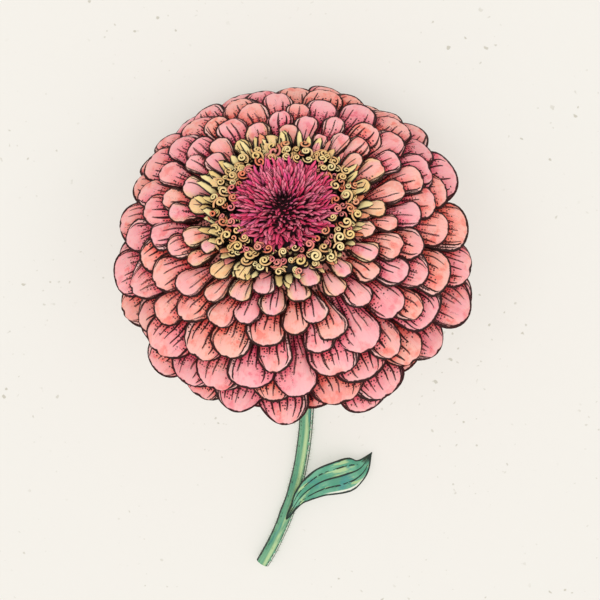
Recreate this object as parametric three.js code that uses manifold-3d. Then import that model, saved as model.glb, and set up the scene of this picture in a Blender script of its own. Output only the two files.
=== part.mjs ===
// A double zinnia: one bloom on a short cut stem with one leaf, lying on a level surface.
//
// Millimetres.  +Z is up and the surface is z = 0.  +Y runs from the cut end of the stem towards the bloom.
// The origin is on the surface, under the middle of the flower's bounding box.
// The bloom is modelled in its own frame, whose +Z is the bloom's axis and whose origin is the middle of
// its widest row, and is then tipped over: it rests on the tips of its lowest petals and on the stem,
// which curves down from the back of the head and lies along the surface.

import * as THREE from "three";
import { mergeVertices } from "three/addons/utils/BufferGeometryUtils.js";
import Module from "manifold-3d";

const wasm = await Module();
wasm.setup();

const DEGREE = Math.PI / 180;
const GOLDEN_ANGLE = Math.PI * (3 - Math.sqrt(5)); // from one floret to the next, in every part of the head
const CLEARANCE = 0.35; // between two pieces that touch
const SLIVER = 0.05; // features smaller than this don't survive a fusion

// ---- the bloom as a whole
const BLOOM_RADIUS = 54;
const DOME_HEIGHT = 34.5; // of the ellipse that the petal tips lie on, above the widest row
const BLOOM_ELEVATION = 49 * DEGREE; // of the bloom's axis above the surface
const BLOOM_TURN = 6.5 * DEGREE; // of the axis about +Z, from +Y towards -X
const BLOOM_CENTRE = new THREE.Vector3(0, 34.6, 36.6);

// ---- receptacle, the core that carries every floret, as radius and height from the top down
const CORE_TOP = 24;
const CORE_PROFILE = [
  [21.5, CORE_TOP],
  [26.5, 20],
  [31, 13],
  [33, 6],
  [30, 1],
  [11.9, -7.05],
];
const CORE_SIDES = 21;

// ---- ray petals
const PETAL_COUNT = 147; // seven turns of 21
const PETAL_THICKNESS = 1.1; // at the midrib
const PETAL_WIDTH = [7, 20.6]; // innermost, outermost
const PETAL_LENGTH = [11, 26, 41]; // innermost, in the dome, in the skirt behind it
const PETAL_PHASE = 200 * DEGREE;
const FIRST_TIP_ANGLE = 58 * DEGREE; // where the innermost tip lies on the ellipse
const LAST_TIP_ANGLE = -15 * DEGREE;

// Along a petal: the share of its length, half its width as a share, and how far the margin hangs below
// the midrib as a share of half the width there.  A narrow claw, a broad blade and a round tip.
const PETAL_OUTLINE = [
  [0, 0.3, 0.34],
  [0.32, 0.6, 0.36],
  [0.62, 0.96, 0.34],
  [0.84, 0.96, 0.26],
  [1, 0.56, 0.14],
];
const PETAL_SHOULDER = 0.965; // where the margins end and the round tip begins
const PETAL_ROOT = 0.14; // share of its length that a petal of the dome adds inside the core
const PETAL_PRESS = 0.25; // how much of its depth below the surface a bent tip keeps, before it is trimmed
const HIDDEN_ROW = 1; // of the outline: left out of petals whose claws are covered on both sides
const COVERED_PETALS = [21, 105];

// ---- disc florets, the shaggy dome in the middle
const DISC_RADIUS = 15.4;
const DISC_EDGE_HEIGHT = 28;
const DISC_MIDDLE_HEIGHT = 31;
const DISC_COUNT = 89;

// ---- the ring of open florets round the disc
const RING_RADIUS = [DISC_RADIUS + CLEARANCE, 19.9];
const RING_HEIGHT = 27;
const RING_COUNT = 21; // in each of its two rows
const RING_ROWS = [
  { radius: 17.5, lean: 9 * DEGREE, rise: 5 },
  { radius: 19, lean: 22 * DEGREE, rise: 4.2 },
];
const FLORET_TUBE = 0.9;
const FLORET_MOUTH = 2.3;

// ---- involucre, the cup of green bracts behind the head
const CUP_FOOT = -21.5; // height of its lower end on the bloom's axis
const CUP_PROFILE = [
  [3.1, CUP_FOOT],
  [6.2, -19.6],
  [9.6, -16],
  [11.4, -11.5],
  [11.4, -7.4],
];
const BRACT_ROWS = [
  { count: 8, foot: 0.7, length: 8, width: 7.2 },
  { count: 13, foot: 1.9, length: 8.6, width: 6.4 },
];

// ---- stem
const STEM_SIDES = 10;
const STEM_STEPS = 22;
const STEM_RADIUS = 2.3;
const STEM_NECK_RADIUS = 3; // where it meets the cup
const STEM_REACH = 100.6; // along -Y, from the cup to the cut end
const STEM_BOW = 2.27e-5; // sideways, in mm for each cubic mm of reach

// ---- leaf, by its midrib in plan and height: distance along -Y from the cup, +X, Z
const LEAF_MIDRIB = [
  [84.3, -1.5, 5.5],
  [79.4, 0.7, 5.7],
  [75.3, 2.9, 6.1],
  [69.7, 9, 7.2],
  [67, 17.1, 6.6],
  [65.8, 22.3, 4.2],
  [62, 26.1, 1.4],
];
const LEAF_THICKNESS = 0.9;
const LEAF_HALF_WIDTH = 5.5;
const LEAF_OUTLINE = [
  [0, 0.17],
  [0.17, 0.22],
  [0.33, 0.42],
  [0.44, 0.7],
  [0.55, 0.93],
  [0.67, 1],
  [0.78, 0.84],
  [0.9, 0.46],
  [1, 0.08],
];

const mix = (a, b, t) => a + (b - a) * t;
const ease = (a, b, t) => THREE.MathUtils.smoothstep(t, a, b);

// A repeatable number from 0 to 1 for item i, in the sequence that salt names.
function draw(i, salt) {
  const x = Math.sin((i + 1) * 12.9898 + salt * 78.233) * 43758.5453;
  return x - Math.floor(x);
}

// ---- solids

function solid(geometry) {
  const bare = new THREE.BufferGeometry();
  bare.setAttribute("position", geometry.getAttribute("position"));
  if (geometry.index) bare.setIndex(geometry.index);
  const merged = mergeVertices(bare, 1e-4);
  return new wasm.Manifold(
    new wasm.Mesh({
      numProp: 3,
      vertProperties: merged.getAttribute("position").array,
      triVerts: new Uint32Array(merged.index.array),
    }),
  );
}

function geometryOf(manifold) {
  const mesh = manifold.getMesh();
  const geometry = new THREE.BufferGeometry();
  geometry.setAttribute("position", new THREE.BufferAttribute(mesh.vertProperties, 3));
  geometry.setIndex(new THREE.BufferAttribute(mesh.triVerts, 1));
  return geometry;
}

// One body: its slivers are smoothed away, and pockets that its pieces close off inside it are filled.
function fuse(geometries, cut) {
  const joined = wasm.Manifold.union(geometries.map(solid));
  const trimmed = cut ? joined.subtract(solid(cut)) : joined;
  const shells = trimmed.asOriginal().simplify(SLIVER).decompose();
  return shells.reduce((best, shell) => (shell.volume() > best.volume() ? shell : best));
}

function indexed(points, index) {
  const geometry = new THREE.BufferGeometry();
  const position = new Float32Array(points.flatMap((p) => [p.x, p.y, p.z]));
  geometry.setAttribute("position", new THREE.BufferAttribute(position, 3));
  geometry.setIndex(index);
  return geometry;
}

// A closed body through rings of equally many points, with flat ends.  Seen from beyond the last ring,
// each ring runs counterclockwise.
function skin(rings) {
  const sides = rings[0].length;
  const index = [];
  for (let ring = 0; ring + 1 < rings.length; ring++) {
    for (let side = 0; side < sides; side++) {
      const a = ring * sides + side;
      const b = ring * sides + ((side + 1) % sides);
      index.push(a, b, b + sides, a, b + sides, a + sides);
    }
  }
  const last = (rings.length - 1) * sides;
  for (let side = 1; side + 1 < sides; side++) {
    index.push(0, side + 1, side, last, last + side, last + side + 1);
  }
  return indexed(rings.flat(), index);
}

// A solid of revolution about +Z, from radius and height pairs that run upwards and end on the axis.
function turned(profile, sides) {
  const outline = profile.map(([r, h]) => new THREE.Vector2(r, h));
  return new THREE.LatheGeometry(outline, sides).rotateX(Math.PI / 2);
}

// ---- the bloom, in its own frame

const AXIS = new THREE.Vector3(0, 0, 1);

// Directions at an azimuth round the bloom.
function compass(azimuth) {
  const out = new THREE.Vector3(Math.cos(azimuth), Math.sin(azimuth), 0);
  return { out, side: new THREE.Vector3(-out.y, out.x, 0) };
}

function receptacle() {
  const foot = CORE_PROFILE.at(-1)[1];
  return turned([[0, foot], ...CORE_PROFILE.toReversed(), [0, CORE_TOP]], CORE_SIDES);
}

// The measures of ray petal number i, counted from the innermost outwards.
function petalMeasures(i) {
  const t = i / (PETAL_COUNT - 1);
  const outer = Math.pow(t, 0.8);
  const skirt = ease(0.5, 0.86, t); // the lowest rows reach back to the foot of the core
  const tipAngle = mix(FIRST_TIP_ANGLE, LAST_TIP_ANGLE, t);
  const [shortest, domed, longest] = PETAL_LENGTH;
  return {
    azimuth: PETAL_PHASE + i * GOLDEN_ANGLE + mix(-1.5, 1.5, draw(i, 1)) * DEGREE,
    tipRadius: BLOOM_RADIUS * Math.cos(tipAngle),
    tipHeight: DOME_HEIGHT * Math.sin(tipAngle),
    width: mix(...PETAL_WIDTH, outer) * mix(0.93, 1.07, draw(i, 2)),
    length: mix(mix(shortest, domed, ease(0, 0.55, t)), longest, skirt) * mix(0.97, 1.03, draw(i, 3)),
    tipSlope: (mix(-4, -58, outer) + mix(0, 12, skirt)) * DEGREE,
    bend: mix(mix(86, 42, ease(0, 0.4, t)), 78, skirt) * DEGREE,
    root: PETAL_ROOT * (1 - skirt),
  };
}

// Where a petal's midrib is at share v of its length: an arc in the plane of the bloom's axis.
function midribAt(petal, v) {
  const curvature = petal.bend / petal.length;
  const slope = petal.tipSlope + petal.bend * (1 - v);
  return {
    radius: petal.tipRadius - (Math.sin(slope) - Math.sin(petal.tipSlope)) / curvature,
    height: petal.tipHeight + (Math.cos(slope) - Math.cos(petal.tipSlope)) / curvature,
    slope,
  };
}

function rayPetal(i) {
  const petal = petalMeasures(i);
  const { out, side } = compass(petal.azimuth);
  const point = ({ radius, height, slope }, sideways, lift) =>
    new THREE.Vector3()
      .addScaledVector(out, radius - Math.sin(slope) * lift)
      .addScaledVector(AXIS, height + Math.cos(slope) * lift)
      .addScaledVector(side, sideways);
  const [firstCovered, pastCovered] = COVERED_PETALS;
  const covered = i >= firstCovered && i < pastCovered;
  const outline = PETAL_OUTLINE.filter((_, row) => !covered || row !== HIDDEN_ROW);
  const rows = outline.map(([v, share, crown]) => {
    const half = (share * petal.width) / 2;
    const drop = crown * half;
    const rib = midribAt(petal, v || -petal.root);
    const margin = v < 1 ? rib : midribAt(petal, PETAL_SHOULDER);
    return [
      point(margin, half, -drop),
      point(rib, 0, PETAL_THICKNESS / 2),
      point(margin, -half, -drop),
      point(rib, 0, -PETAL_THICKNESS / 2),
    ];
  });
  return skin(rows);
}

// The height of the disc's own surface under its florets.
const discHeight = (radius) => mix(DISC_MIDDLE_HEIGHT, DISC_EDGE_HEIGHT, (radius / DISC_RADIUS) ** 2);

// One pointed floret of the disc, leaning further out the further it stands from the middle.
function discFloret(i) {
  const share = Math.sqrt((i + 0.5) / DISC_COUNT);
  const radius = share * (DISC_RADIUS - 2);
  const length = mix(3.2, 6, share) * mix(0.85, 1.15, draw(i, 4));
  const lean = mix(0, 10, share) * DEGREE;
  return new THREE.ConeGeometry(1.3, length, 3)
    .translate(0, length / 2 - 1.1, 0)
    .rotateX(Math.PI / 2)
    .rotateY(lean)
    .translate(radius, 0, discHeight(radius))
    .rotateZ(i * GOLDEN_ANGLE);
}

function discBody() {
  const foot = CORE_TOP + CLEARANCE;
  const dome = [1, 0.8, 0.5].map((share) => [share * DISC_RADIUS, discHeight(share * DISC_RADIUS)]);
  return turned([[0, foot], [DISC_RADIUS, foot], ...dome, [0, DISC_MIDDLE_HEIGHT]], 16);
}

// An open floret: a tube that ends in a five-cornered mouth.
function openFloret(row, i) {
  const { radius, lean, rise } = RING_ROWS[row];
  const height = rise * mix(0.85, 1.1, draw(i, 5 + row));
  const tube = [[0, -0.8], [FLORET_TUBE, -0.8], [FLORET_MOUTH, height], [0, height - 0.7]];
  return turned(tube, 5)
    .rotateZ(draw(i, 7 + row) * 72 * DEGREE)
    .rotateY(lean)
    .translate(radius, 0, RING_HEIGHT)
    .rotateZ(((i + row / 2) / RING_COUNT) * 360 * DEGREE);
}

function floretBand() {
  const [inner, outer] = RING_RADIUS;
  const foot = CORE_TOP + CLEARANCE;
  const section = [
    [inner, foot],
    [outer, foot],
    [outer, RING_HEIGHT - 1],
    [inner, RING_HEIGHT],
    [inner, foot],
  ];
  return turned(section, RING_COUNT);
}

// A point on the cup's wall, by its place along CUP_PROFILE, and the wall's slope there.
function cupWall(place) {
  const k = Math.min(Math.floor(place), CUP_PROFILE.length - 2);
  const [r0, h0] = CUP_PROFILE[k];
  const [r1, h1] = CUP_PROFILE[k + 1];
  return { radius: mix(r0, r1, place - k), height: mix(h0, h1, place - k) };
}

// A bract lies on the cup like a roof tile, its tip a little proud of the wall.
function bract(row, i) {
  const { count, foot, length, width } = BRACT_ROWS[row];
  const { out, side } = compass(((i + row / 2) / count) * 360 * DEGREE);
  const base = cupWall(foot);
  const tip = cupWall(foot + 1.45);
  const along = new THREE.Vector2(tip.radius - base.radius, tip.height - base.height).setLength(length);
  const away = new THREE.Vector2(along.y, -along.x).normalize();
  const point = (v, sideways, lift) =>
    new THREE.Vector3()
      .addScaledVector(out, base.radius + along.x * v + away.x * lift)
      .addScaledVector(AXIS, base.height + along.y * v + away.y * lift)
      .addScaledVector(side, sideways);
  const outline = [
    [0, 1],
    [1, 0.55],
  ];
  return skin(
    outline.map(([v, share]) => {
      const half = (share * width) / 2;
      const proud = mix(-0.3, 0.9, v);
      return [
        point(Math.min(v, 0.86), half, proud - 0.75),
        point(v, 0, proud - 0.6),
        point(Math.min(v, 0.86), -half, proud - 0.75),
        point(v, 0, proud + 0.5),
      ];
    }),
  );
}

const bracts = BRACT_ROWS.flatMap(({ count }, row) => Array.from({ length: count }, (_, i) => bract(row, i)));
const cup = () => turned([[0, CUP_FOOT], ...CUP_PROFILE, [0, CUP_PROFILE.at(-1)[1]]], 13);

// ---- stem and leaf, in the flower's frame

const bloomAxis = new THREE.Vector3(0, 0, 1).applyEuler(
  new THREE.Euler(BLOOM_ELEVATION - Math.PI / 2, 0, BLOOM_TURN, "ZYX"),
);
const stemTop = BLOOM_CENTRE.clone().addScaledVector(bloomAxis, CUP_FOOT - CLEARANCE);
const stemRest = STEM_RADIUS * Math.cos(Math.PI / STEM_SIDES); // height of its middle where a flat lies down
const arcRadius = (stemTop.z - stemRest) / (1 - Math.cos(BLOOM_ELEVATION));
const arcReach = arcRadius * Math.sin(BLOOM_ELEVATION);

// The stem's centreline at a distance along -Y from the cup: an arc down to the surface, then level.
function stemAt(reach) {
  const left = Math.max(arcReach - reach, 0);
  return new THREE.Vector3(
    stemTop.x + Math.tan(BLOOM_TURN) * reach - STEM_BOW * reach ** 3,
    stemTop.y - reach,
    stemRest + arcRadius - Math.sqrt(arcRadius ** 2 - left ** 2),
  );
}

function stemGeometry() {
  const rings = [];
  for (let step = 0; step <= STEM_STEPS; step++) {
    const reach = STEM_REACH * (step / STEM_STEPS);
    const centre = stemAt(reach);
    const forward = step ? stemAt(reach + 0.5).sub(stemAt(reach - 0.5)).normalize() : bloomAxis.clone().negate();
    const side = new THREE.Vector3().crossVectors(forward, AXIS).normalize();
    const up = new THREE.Vector3().crossVectors(side, forward);
    const radius = STEM_RADIUS + (STEM_NECK_RADIUS - STEM_RADIUS) * (1 - ease(0, 16, reach));
    rings.push(
      Array.from({ length: STEM_SIDES }, (_, k) => {
        const angle = ((k + 0.5) / STEM_SIDES) * 2 * Math.PI;
        return centre
          .clone()
          .addScaledVector(up, radius * Math.cos(angle))
          .addScaledVector(side, radius * Math.sin(angle));
      }),
    );
  }
  return skin(rings);
}

function leafGeometry() {
  const midrib = new THREE.CatmullRomCurve3(
    LEAF_MIDRIB.map(([reach, x, z]) => new THREE.Vector3(x, stemTop.y - reach, z)),
  );
  const rows = LEAF_OUTLINE.map(([v, share]) => {
    const centre = midrib.getPoint(v);
    const forward = midrib.getTangent(v);
    const side = new THREE.Vector3().crossVectors(forward, AXIS).normalize();
    const up = new THREE.Vector3().crossVectors(side, forward);
    const half = share * LEAF_HALF_WIDTH;
    return [
      centre.clone().addScaledVector(side, half).addScaledVector(up, 0.2 * half),
      centre.clone().addScaledVector(up, -LEAF_THICKNESS / 2),
      centre.clone().addScaledVector(side, -half).addScaledVector(up, 0.2 * half),
      centre.clone().addScaledVector(up, LEAF_THICKNESS / 2),
    ];
  });
  return skin(rows);
}

// ---- the flower

const finish = (color, roughness) => new THREE.MeshStandardMaterial({ color, roughness, metalness: 0 });

function named(name, geometry, material) {
  const mesh = new THREE.Mesh(geometry, material);
  mesh.name = name;
  return mesh;
}

const flower = new THREE.Group();
const head = new THREE.Group();
head.rotation.set(BLOOM_ELEVATION - Math.PI / 2, 0, BLOOM_TURN, "ZYX");
head.position.copy(BLOOM_CENTRE);
head.updateMatrixWorld();
flower.add(head);

const toBloom = head.matrixWorld.clone().invert();
const belowSurface = new THREE.BoxGeometry(400, 400, 100).translate(0, 0, -50).applyMatrix4(toBloom);

// A petal that meets the surface bends along it.
function pressed(petal) {
  petal.applyMatrix4(head.matrixWorld);
  const position = petal.getAttribute("position");
  for (let k = 0; k < position.count; k++) {
    const z = position.getZ(k);
    if (z < 0) position.setZ(k, z * PETAL_PRESS);
  }
  return petal.applyMatrix4(toBloom);
}

const petals = Array.from({ length: PETAL_COUNT }, (_, i) => pressed(rayPetal(i)));
const rays = fuse([receptacle(), ...petals], belowSurface);
const disc = fuse([discBody(), ...Array.from({ length: DISC_COUNT }, (_, i) => discFloret(i))]);
const ring = fuse([
  floretBand(),
  ...RING_ROWS.flatMap((_, row) => Array.from({ length: RING_COUNT }, (_, i) => openFloret(row, i))),
]);

head.add(named("ray_petals", geometryOf(rays), finish(0xef8f8c, 0.55)));
head.add(named("disc_florets", geometryOf(disc), finish(0xc23a5e, 0.7)));
head.add(named("ring_florets", geometryOf(ring), finish(0xf3c763, 0.6)));
head.add(named("involucre", geometryOf(fuse([cup(), ...bracts])), finish(0x5d9150, 0.65)));
flower.add(named("stem", stemGeometry(), finish(0x6fa37c, 0.6)));
flower.add(named("leaf", leafGeometry(), finish(0x5f9f78, 0.55)));

export default flower;
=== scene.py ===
# Looks for the double zinnia: fine petals, florets, bracts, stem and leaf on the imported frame.
# Lengths are in millimetres, as in the part's source, where no comment says metres.

import math

import bpy
import numpy as np
from mathutils import Euler, Matrix, Vector
from mathutils.bvhtree import BVHTree


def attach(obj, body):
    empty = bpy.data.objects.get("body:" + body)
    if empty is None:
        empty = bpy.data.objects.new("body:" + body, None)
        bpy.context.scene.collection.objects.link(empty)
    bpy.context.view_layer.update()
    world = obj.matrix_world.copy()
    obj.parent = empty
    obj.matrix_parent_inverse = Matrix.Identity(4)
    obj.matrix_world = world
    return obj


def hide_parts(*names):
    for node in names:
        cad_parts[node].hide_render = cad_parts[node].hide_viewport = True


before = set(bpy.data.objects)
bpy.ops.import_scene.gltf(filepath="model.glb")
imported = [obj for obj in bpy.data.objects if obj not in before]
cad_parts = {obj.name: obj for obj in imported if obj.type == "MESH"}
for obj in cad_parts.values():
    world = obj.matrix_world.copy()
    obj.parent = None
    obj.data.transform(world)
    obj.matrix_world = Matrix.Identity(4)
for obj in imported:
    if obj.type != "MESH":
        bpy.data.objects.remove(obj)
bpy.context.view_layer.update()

MM = 0.001
DEGREE = math.pi / 180
UP = np.array([0, 0, 1.0])
GOLDEN_ANGLE = math.pi * (3 - math.sqrt(5))
CLEARANCE = 0.35  # between two pieces that touch

# ---- values of the part's source, which the solids and the looks share
BLOOM_RADIUS = 54
DOME_HEIGHT = 34.5
BLOOM_ELEVATION = 49 * DEGREE
BLOOM_TURN = 6.5 * DEGREE
BLOOM_CENTRE = Vector((0, 34.6, 36.6))
CORE_TOP = 24
CORE_FOOT = -7.05
CORE_PROFILE = [(0, CORE_TOP), (21.5, CORE_TOP), (26.5, 20), (31, 13), (33, 6), (30, 1)]
CORE_PROFILE += [(11.9, CORE_FOOT), (0, CORE_FOOT)]
PETAL_COUNT = 147
PETAL_LENGTH = (11, 26, 41)  # innermost, in the dome, in the skirt behind it
PETAL_PHASE = 200 * DEGREE
FIRST_TIP_ANGLE = 58 * DEGREE
LAST_TIP_ANGLE = -15 * DEGREE
PETAL_ROOT = 0.14  # share of its length that a petal of the dome adds inside the core
DISC_RADIUS = 15.4
DISC_EDGE_HEIGHT = 28
DISC_MIDDLE_HEIGHT = 31
DISC_FOOT = CORE_TOP + CLEARANCE
RING_RADIUS = (DISC_RADIUS + CLEARANCE, 19.9)
RING_HEIGHT = 27
CUP_FOOT = -21.5
CUP_PROFILE = [(3.1, CUP_FOOT), (6.2, -19.6), (9.6, -16), (11.4, -11.5), (11.4, -7.4)]
STEM_SIDES = 10
STEM_RADIUS = 2.3
STEM_NECK_RADIUS = 3
STEM_REACH = 100.6
STEM_BOW = 2.27e-5  # sideways, in mm for each cubic mm of reach

# ---- the leaf, fitted more closely than its solid: distance along -Y from the cup, +X, Z
LEAF_MIDRIB = [(84.3, -2.1, 4.5), (79.4, 0.5, 5.3), (75.4, 3, 6.1), (70.3, 9.2, 7.2)]
LEAF_MIDRIB += [(67.9, 17.2, 6.6), (66.5, 22.2, 4.2), (62, 26.1, 1.4)]
LEAF_HALF_WIDTH = 6
LEAF_ALONG = [0, 0.17, 0.33, 0.44, 0.55, 0.67, 0.78, 0.9, 1]
LEAF_OUTLINE = [0.1, 0.22, 0.43, 0.7, 0.94, 1, 0.8, 0.38, 0.06]  # half widths, as shares of the widest
LEAF_SPAN = 33.0  # what the paint counts from the leaf's foot to its tip, whose midrib is longer
LEAF_GRID = (46, 19)  # rows, columns
LEAF_THICKNESS = 0.48

# ---- fine petals
PETAL_THICKNESS = 0.5
PETAL_COLUMNS = 13
PETAL_ROWS = 17
CROWN_ALONG = [0, 0.32, 0.62, 0.84, 1]
CROWN = [0.34, 0.34, 0.27, 0.15, 0.04]  # how far the margins hang, as a share of half the width
MORE_PETALS = 6  # small petals beside the ring, on the same spiral as the rest
FINE_FIRST_TIP = 61.8 * DEGREE
FINE_TIP_STEP = (0.33 * DEGREE, 0.765 * DEGREE)  # between the first two petals, between the last two
FINE_WIDTH = (6.1, 18.9)  # innermost, outermost
FLAT_FROM = 40 * DEGREE  # petals with a higher tip angle lie flatter and lower, open towards the ring
FLAT_RANGE = 20 * DEGREE
FLAT_DROP = 2.7
ROUND_TIP = 0.9  # length of the rounded end, in half widths
BACK_ROWS = [  # petals under the skirt: tip radius, tip height, width, length, tip slope and bend
    (50, -4.6, 17, 38.5, -34 * DEGREE, 64 * DEGREE),
    (45.5, -7.2, 16.4, 34.4, -29 * DEGREE, 58 * DEGREE),
]
BACK_PETALS = 42
FLOOR_ROOM = 2.5  # petals under the skirt are shortened to keep their tips this far above the surface
TIP_RISE = 0.85  # what each mm of that is taken to lift a tip by
MOST_SHORTENED = 9
PRESSED_HEIGHT = 0.01  # where the tips of the lowest petals lie on the surface
CORE_STROKES = 9  # in a radian of the core's side

# ---- disc and ring
STRAP_ROWS = 7
STRAP_THICKNESS = 0.2
STRAP_COUNT = 480
STRAP_INSET = 4.0  # from the edge of the disc to the roots of its outermost straps
EYE_OFFSET = 1.8  # the dark eye of the disc is off its middle, towards the far side of the bloom
EYE_AZIMUTH = 96 * DEGREE
CURL_ROWS = [  # radius, count, size and drop of the scrolls of the ring
    (15.4, 26, 1.3, -0.9),
    (18.6, 24, 1.65, 0.8),
    (20.7, 26, 1.5, 1.6),
    (17.4, 40, 1.05, 1.2),
    (19.8, 42, 1.1, 2),
    (14.6, 36, 0.9, 0.2),
]
SCROLL_HEIGHT = 1.9
INNER_SCROLLS = 18  # scrolls inside this radius are red more often
SCALE_COUNT = 60
SCALE_RADIUS = (19.2, 20.8)
SCALE_FOOT = 25.4
SHOWY_AZIMUTH = 140 * DEGREE  # the scales are longest and yellowest on this side

# ---- cup and stem
BRACT_ROWS = [  # count, place of the foot on the cup's profile, length and width
    (8, 0.35, 6.6, 5.6),
    (13, 1.1, 7.2, 5.4),
    (13, 1.85, 7.6, 6),
    (16, 2.5, 7.6, 5.4),
]
BRACT_GRID = (9, 9)
BRACT_THICKNESS = 0.44
STALK_GRID = (56, 200)  # sides, steps
STALK_NODE = (82.5, 2.6)  # reach and half length of the swelling where the leaf grows
HAIR_COUNT = 900


def draw(i, salt):
    """The same repeatable numbers from 0 to 1 as in the part's source."""
    x = np.sin((i + 1) * 12.9898 + salt * 78.233) * 43758.5453
    return x - np.floor(x)


def mix(a, b, t):
    return a + (b - a) * t


def pick(a, b, i, salt):
    """A number between a and b, as drawn."""
    return mix(a, b, draw(i, salt))


def ease(a, b, t):
    x = np.clip((t - a) / (b - a), 0, 1)
    return x * x * (3 - 2 * x)


def unit(vector):
    return vector / np.linalg.norm(vector)


HEAD = Matrix.Translation(BLOOM_CENTRE) @ Euler(
    (BLOOM_ELEVATION - math.pi / 2, 0, BLOOM_TURN), "XYZ"
).to_matrix().to_4x4()
HEAD_TURN = np.array(HEAD.to_3x3())
HEAD_PLACE = np.array(BLOOM_CENTRE)
SKY = HEAD_TURN[2]  # straight up, in the bloom's own frame


def direction(azimuth):
    return np.array([math.cos(azimuth), math.sin(azimuth), 0])


def around_axis(azimuth, radius, height, x):
    """Points at a radius and height of the bloom's own frame, and x to the side of that azimuth."""
    out = direction(azimuth)
    side = np.array([-out[1], out[0], 0])
    return radius[..., None] * out + height[..., None] * UP + x[..., None] * side


def to_row(points):
    """Points of the bloom's own frame in the row frame."""
    return points @ HEAD_TURN.T + HEAD_PLACE


# ---- meshes


def placed(name, data):
    """A new object in the scene."""
    made = bpy.data.objects.new(name, data)
    bpy.context.scene.collection.objects.link(made)
    return made


class Sheet:
    """Collects grids of points into one mesh, with vector attributes for the materials."""

    def __init__(self, *attributes):
        self.points, self.faces, self.maps, self.count = [], [], {}, 0
        self.attributes = {name: [] for name in attributes}

    def add(self, points, faces, **attributes):
        points = np.asarray(points, float).reshape(-1, 3)
        self.points.append(points)
        self.faces.extend(tuple(int(k) + self.count for k in face) for face in faces)
        for name, rows in self.attributes.items():
            value = np.asarray(attributes.get(name, (0, 0, 0)), float)
            rows.append(np.broadcast_to(value, (len(points), 3)))
        self.count += len(points)

    def mesh(self, name, material, node):
        data = bpy.data.meshes.new(name)
        points = np.concatenate(self.points) * MM
        data.from_pydata(points.tolist(), [], self.faces)
        for key, rows in self.attributes.items():
            layer = data.attributes.new(key, "FLOAT_VECTOR", "POINT")
            layer.data.foreach_set("vector", np.concatenate(rows).astype(np.float32).ravel())
        data.polygons.foreach_set("use_smooth", [True] * len(data.polygons))
        data.materials.append(material)
        data.update()
        piece = placed(name, data)
        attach(piece, "root")
        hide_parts(node)
        return piece


def both(values):
    """The same values for the upper and the lower grid of a blade."""
    return np.tile(np.asarray(values, float).ravel(), 2)


def blade_faces(rows, columns):
    """Faces of a closed blade, whose points are its upper grid and then its lower one."""
    half = rows * columns
    at = lambda row, column: row * columns + column
    faces = []
    for row in range(rows - 1):
        for column in range(columns - 1):
            a, b = at(row, column), at(row, column + 1)
            c, d = at(row + 1, column + 1), at(row + 1, column)
            faces.append((a, b, c, d))
            faces.append((half + d, half + c, half + b, half + a))
    rim = [at(0, c) for c in range(columns)] + [at(r, columns - 1) for r in range(1, rows)]
    rim += [at(rows - 1, c) for c in range(columns - 2, -1, -1)]
    rim += [at(r, 0) for r in range(rows - 2, 0, -1)]
    for here, there in zip(rim, rim[1:] + rim[:1]):
        faces.append((there, here, half + here, half + there))
    return faces


def tube_faces(rings, sides):
    """Faces of a closed tube whose points are rings of so many sides."""
    faces = []
    for ring in range(rings - 1):
        for side in range(sides):
            a, b = ring * sides + side, ring * sides + (side + 1) % sides
            faces.append((a, b, b + sides, a + sides))
    faces.append(tuple(range(sides - 1, -1, -1)))
    faces.append(tuple((rings - 1) * sides + side for side in range(sides)))
    return faces


def turned(profile, sides):
    """Points and faces of a solid of revolution about +Z, from the top down."""
    angles = np.arange(sides) * 2 * math.pi / sides
    rings = [
        np.stack([radius * np.cos(angles), radius * np.sin(angles), np.full(sides, height)], 1)
        for radius, height in [(max(r, 0.02), h) for r, h in profile]
    ]
    return np.concatenate(rings), [face[::-1] for face in tube_faces(len(rings), sides)]


# ---- ray petals


def petal_measures(i):
    """Measures of petal i: those below 0 are beside the ring, and the last ones are in the skirt."""
    k = i + MORE_PETALS
    last = PETAL_COUNT - 1 + MORE_PETALS
    first_step, last_step = FINE_TIP_STEP
    tip_angle = FINE_FIRST_TIP - first_step * k
    tip_angle = tip_angle - (last_step - first_step) * (k / last) ** 2.5 * last / 2.5
    tip_angle += pick(-1.9, 1.9, i, 4) * DEGREE * float(ease(0, 60, k))
    place = (FIRST_TIP_ANGLE - tip_angle) / (FIRST_TIP_ANGLE - LAST_TIP_ANGLE)
    t = min(max(place, 0), 1)
    flat = min(max((tip_angle - FLAT_FROM) / FLAT_RANGE, 0), 1)
    outer = t**0.8
    skirt = float(ease(0.5, 0.86, t))
    shortest, domed, longest = PETAL_LENGTH
    length = mix(mix(shortest, domed, float(ease(0, 0.55, t))), longest, skirt)
    width = mix(*FINE_WIDTH, t**0.84) * pick(0.82, 1.2, i, 2)
    rim = pick(-2.6, 4, i, 5) * float(ease(0.4, 0.75, t))
    return {
        "t": t,
        "azimuth": PETAL_PHASE + i * GOLDEN_ANGLE + pick(-3.6, 3.6, i, 1) * DEGREE,
        "tip_radius": BLOOM_RADIUS * math.cos(tip_angle) + rim,
        "tip_height": DOME_HEIGHT * math.sin(tip_angle) - FLAT_DROP * flat,
        "width": width,
        "length": length * pick(0.97, 1.03, i, 3),
        "tip_slope": (mix(-4, -58, outer) + mix(0, 12, skirt) - 9 * flat) * DEGREE,
        "bend": (mix(mix(86, 42, float(ease(0, 0.4, t))), 78, skirt) - 36 * flat) * DEGREE,
        "root": PETAL_ROOT * (1 - skirt),
        "point": pick(1.35, 2.9, i, 6),
        "strokes": round(min(max(width / 2.5, 3), 7)),
        "fold": 0 if draw(i, 7) < 0.35 else (1 if draw(i, 8) < 0.5 else -1),
    }


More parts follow.
